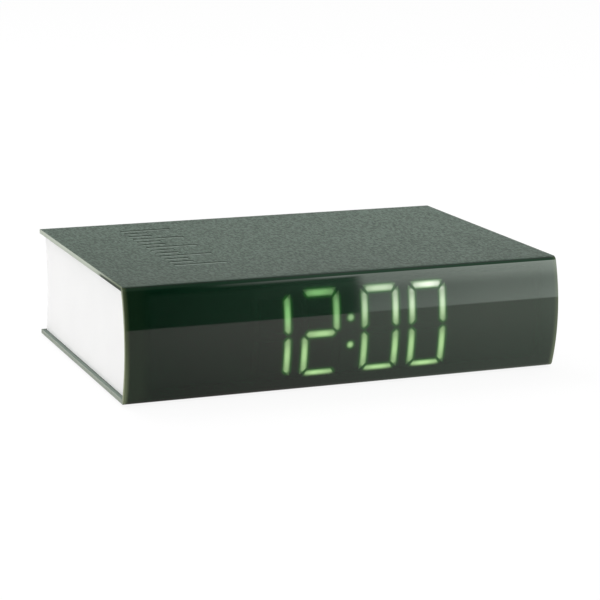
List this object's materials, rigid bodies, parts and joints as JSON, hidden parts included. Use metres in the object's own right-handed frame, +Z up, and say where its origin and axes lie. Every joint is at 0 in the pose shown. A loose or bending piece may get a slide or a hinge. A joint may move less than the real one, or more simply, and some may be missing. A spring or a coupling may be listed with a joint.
{
  "type": "digital led desk clock",
  "caption": "Book-shaped desk clock lying on its back cover, with green lit digits behind its dark glossy rounded spine.",
  "frame": {"origin": "middle of the footprint, on the surface that the feet stand on", "axes": "+X along the spine from the head of the book to its tail, -Y out of the spine with the display, +Z up through the front cover"},
  "size_m": [0.2, 0.1383, 0.0508],
  "materials": {
    "jacket": "dark green see-through tint, leather grain on the covers, polished spine",
    "door": "same tint as the jacket, grained",
    "pages": "plain white, satin",
    "mask": "dull black",
    "reflector": "white",
    "lit_pipes": "milky, lit green from behind",
    "dark_pipes": "milky, unlit behind the tint",
    "circuit_board": "green lacquer over glass fibre",
    "light_chips": "small resin chips",
    "chip_black": "moulded black",
    "small_steel": "zinc plated",
    "steel_sheet": "nickel plated sheet",
    "contact_nickel": "nickel plated spring sheet",
    "capacitor_can": "dark sleeve over a can",
    "button_cap": "white, satin",
    "plunger": "grey",
    "socket": "off-white nylon",
    "ribbon": "grey",
    "bay": "black",
    "cell": "plain printed sleeve",
    "lead_red": "insulated wire",
    "lead_black": "insulated wire",
    "foot": "moulded"
  },
  "bodies": {
    "clock": {"cover_jacket": "jacket", "page_block": "pages", "display_mask": "mask", "reflector_block": "reflector", "hour_tens_lit_pipes": "lit_pipes", "hour_units_lit_pipes": "lit_pipes", "minute_tens_lit_pipes": "lit_pipes", "minute_units_lit_pipes": "lit_pipes", "colon_pipes": "lit_pipes", "hour_tens_dark_pipes": "dark_pipes", "hour_units_dark_pipes": "dark_pipes", "minute_tens_dark_pipes": "dark_pipes", "minute_units_dark_pipes": "dark_pipes", "light_board": "circuit_board", "control_board": "circuit_board", "segment_leds": "light_chips", "display_driver": "chip_black", "clock_chip": "chip_black", "buzzer": "chip_black", "switch_bodies": "chip_black", "inlet_tongue": "chip_black", "case_screws": "small_steel", "light_board_screws": "small_steel", "control_board_screws": "small_steel", "bay_screws": "small_steel", "slider_can": "steel_sheet", "power_inlet": "steel_sheet", "quartz_crystal": "steel_sheet", "negative_terminal": "contact_nickel", "positive_terminal": "contact_nickel", "left_link": "contact_nickel", "right_link": "contact_nickel", "capacitors": "capacitor_can", "ribbon_socket_display": "socket", "ribbon_socket_main": "socket", "ribbon_cable": "ribbon", "battery_bay": "bay", "cell_front": "cell", "cell_middle": "cell", "cell_rear": "cell", "positive_lead": "lead_red", "negative_lead": "lead_black", "foot_front_left": "foot", "foot_front_right": "foot", "foot_rear_left": "foot", "foot_rear_right": "foot"},
    "set_key": {"set_button": "button_cap", "set_plunger": "plunger"},
    "alarm_key": {"alarm_button": "button_cap", "alarm_plunger": "plunger"},
    "up_key": {"up_button": "button_cap", "up_plunger": "plunger"},
    "down_key": {"down_button": "button_cap", "down_plunger": "plunger"},
    "slider": {"alarm_slider": "button_cap"},
    "door": {"battery_door": "door"}
  },
  "joints": [
    {"name": "set_press", "type": "slide", "parent": "clock", "child": "set_key", "axis": [0, -1, 0], "range_m": [0, 0.0006], "stiffness_N_per_m": 1000},
    {"name": "alarm_press", "type": "slide", "parent": "clock", "child": "alarm_key", "axis": [0, -1, 0], "range_m": [0, 0.0006], "stiffness_N_per_m": 1000},
    {"name": "up_press", "type": "slide", "parent": "clock", "child": "up_key", "axis": [0, -1, 0], "range_m": [0, 0.0006], "stiffness_N_per_m": 1000},
    {"name": "down_press", "type": "slide", "parent": "clock", "child": "down_key", "axis": [0, -1, 0], "range_m": [0, 0.0006], "stiffness_N_per_m": 1000},
    {"name": "alarm_slide", "type": "slide", "parent": "clock", "child": "slider", "axis": [1, 0, 0], "range_m": [0, 0.003]},
    {"name": "door_slide", "type": "slide", "parent": "clock", "child": "door", "axis": [0, 1, 0], "range_m": [0, 0.052]}
  ]
}
